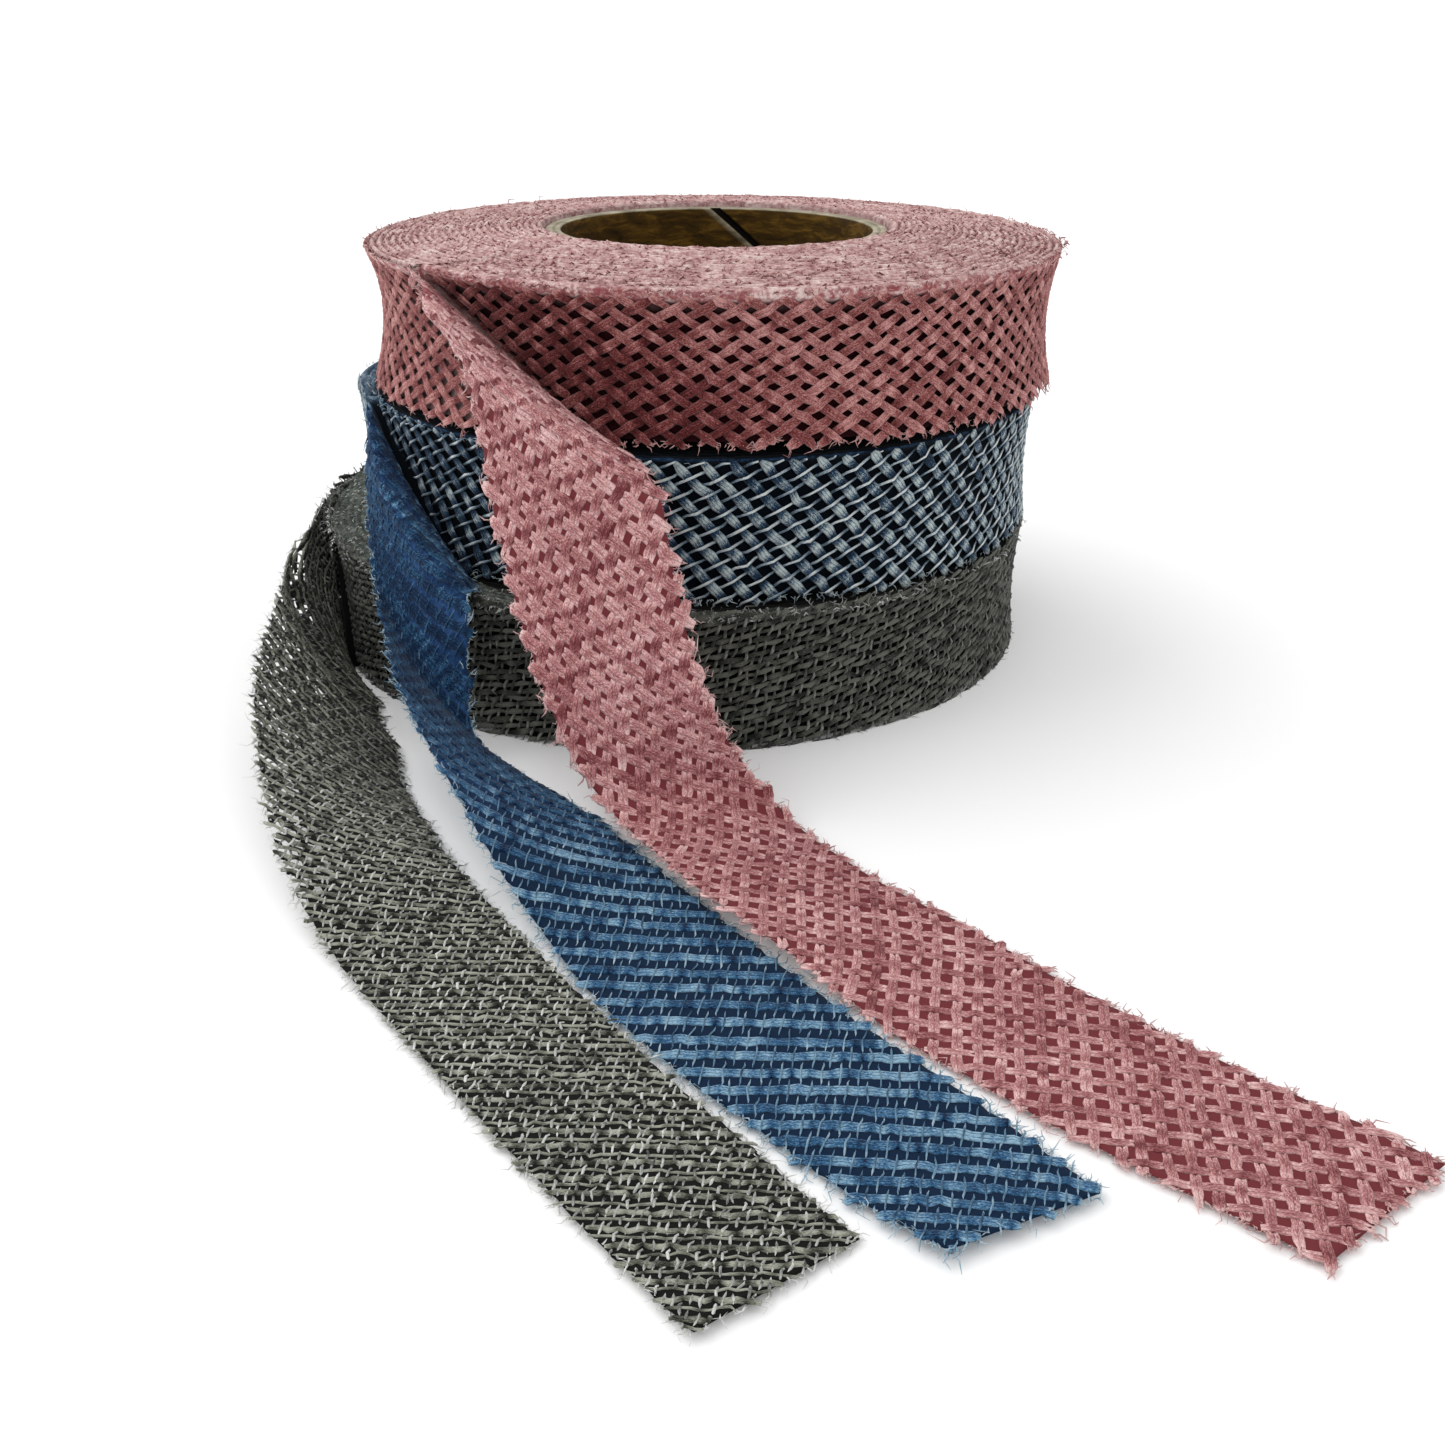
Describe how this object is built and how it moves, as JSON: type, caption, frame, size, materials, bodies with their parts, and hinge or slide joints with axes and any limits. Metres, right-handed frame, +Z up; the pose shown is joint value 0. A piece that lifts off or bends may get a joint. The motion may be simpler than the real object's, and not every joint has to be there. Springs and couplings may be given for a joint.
{
  "type": "stacked rolls of chenille bias strip",
  "caption": "Soft frayed bias-cut cotton strips wound edge-up into flat rolls, stacked, with their loose ends turned over, hanging down and lying out on the table.",
  "frame": {"origin": "middle of the footprint on the table, under the whole of the stack and its loose ends", "axes": "+Z up, along the axes of the rolls; the loose ends come forward along -Y and lie towards +X; the stack of rolls stands at +Y"},
  "size_m": [0.1046, 0.1726, 0.05],
  "materials": {
    "pink_cloth": "matte, loosely woven and frayed",
    "blue_cloth": "matte, loosely woven and frayed",
    "gray_cloth": "matte, loosely woven and frayed",
    "core_card": "plain brown, matte"
  },
  "bodies": {
    "root": {"pink_roll": "pink_cloth", "pink_tail": "pink_cloth", "pink_core": "core_card", "blue_roll": "blue_cloth", "blue_tail": "blue_cloth", "gray_roll": "gray_cloth", "gray_tail": "gray_cloth"}
  },
  "joints": []
}
